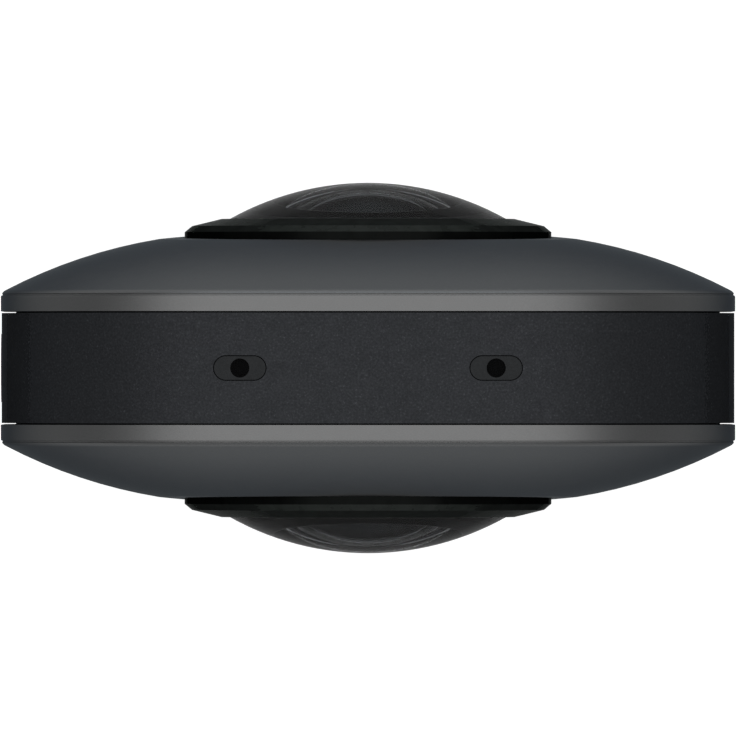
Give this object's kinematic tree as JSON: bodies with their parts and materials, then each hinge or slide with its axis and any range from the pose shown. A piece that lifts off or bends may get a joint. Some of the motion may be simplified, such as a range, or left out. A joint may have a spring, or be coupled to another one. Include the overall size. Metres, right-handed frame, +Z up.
{
  "type": "360 degree camera",
  "caption": "Slim upright 360 degree camera: domed metal shells on a black centre band, a fisheye lens on each face, side buttons, a hinged port door and a tripod socket.",
  "frame": {"origin": "middle of the base, on the tripod socket's axis", "axes": "+Z up, -Y out of the front lens, +X towards the port door"},
  "size_m": [0.0674, 0.034, 0.078],
  "materials": {
    "shell_metal": "satin",
    "band_black": "fine textured",
    "button_black": "satin",
    "bezel_black": "semi-gloss",
    "dome_glass": "polished",
    "lens_glass": "coated",
    "barrel_black": "matt",
    "seal_rubber": "matt",
    "socket_brass": "turned",
    "chassis_metal": "cast",
    "plain_steel": "satin",
    "circuit_board": "solder mask",
    "chip_black": "moulded",
    "battery_wrap": "film",
    "light_pipe": "clear"
  },
  "bodies": {
    "camera_body": {"front_shell": "shell_metal", "rear_shell": "shell_metal", "mid_frame": "band_black", "left_mic_port": "band_black", "right_mic_port": "band_black", "front_lens_bezel": "bezel_black", "rear_lens_bezel": "bezel_black", "front_lens_dome": "dome_glass", "rear_lens_dome": "dome_glass", "front_inner_lens": "lens_glass", "rear_inner_lens": "lens_glass", "front_relay_lens": "lens_glass", "rear_relay_lens": "lens_glass", "front_lens_barrel": "barrel_black", "rear_lens_barrel": "barrel_black", "front_retaining_ring": "barrel_black", "rear_retaining_ring": "barrel_black", "front_seal": "seal_rubber", "rear_seal": "seal_rubber", "tripod_socket": "socket_brass", "chassis_plate": "chassis_metal", "hinge_pin": "plain_steel", "usb_port": "plain_steel", "card_slot": "plain_steel", "processor_shield": "plain_steel", "chassis_screws": "plain_steel", "shell_screws": "plain_steel", "barrel_screws": "plain_steel", "board_screws": "plain_steel", "front_sensor_board": "circuit_board", "rear_sensor_board": "circuit_board", "main_board": "circuit_board", "button_board": "circuit_board", "mic_board": "circuit_board", "front_sensor": "chip_black", "rear_sensor": "chip_black", "buzzer": "chip_black", "tact_switches": "chip_black", "microphones": "chip_black", "battery": "battery_wrap", "battery_tray": "battery_wrap", "status_light": "light_pipe"},
    "shutter": {"shutter_button": "button_black"},
    "mode": {"mode_button": "button_black"},
    "power": {"power_button": "button_black"},
    "door": {"port_door": "band_black", "door_seal": "seal_rubber"}
  },
  "joints": [
    {"name": "shutter_press", "type": "slide", "parent": "camera_body", "child": "shutter", "axis": [1, 0, 0], "range_m": [0, 0.00035], "stiffness_N_per_m": 400, "springref_m": -0.0002},
    {"name": "mode_press", "type": "slide", "parent": "camera_body", "child": "mode", "axis": [1, 0, 0], "range_m": [0, 0.00035], "stiffness_N_per_m": 400, "springref_m": -0.0002},
    {"name": "power_press", "type": "slide", "parent": "camera_body", "child": "power", "axis": [1, 0, 0], "range_m": [0, 0.00035], "stiffness_N_per_m": 400, "springref_m": -0.0002},
    {"name": "door_hinge", "type": "hinge", "parent": "camera_body", "child": "door", "pos_m": [0.03282, 0, 0.027], "axis": [0, 1, 0], "range_deg": [0, 90]}
  ]
}
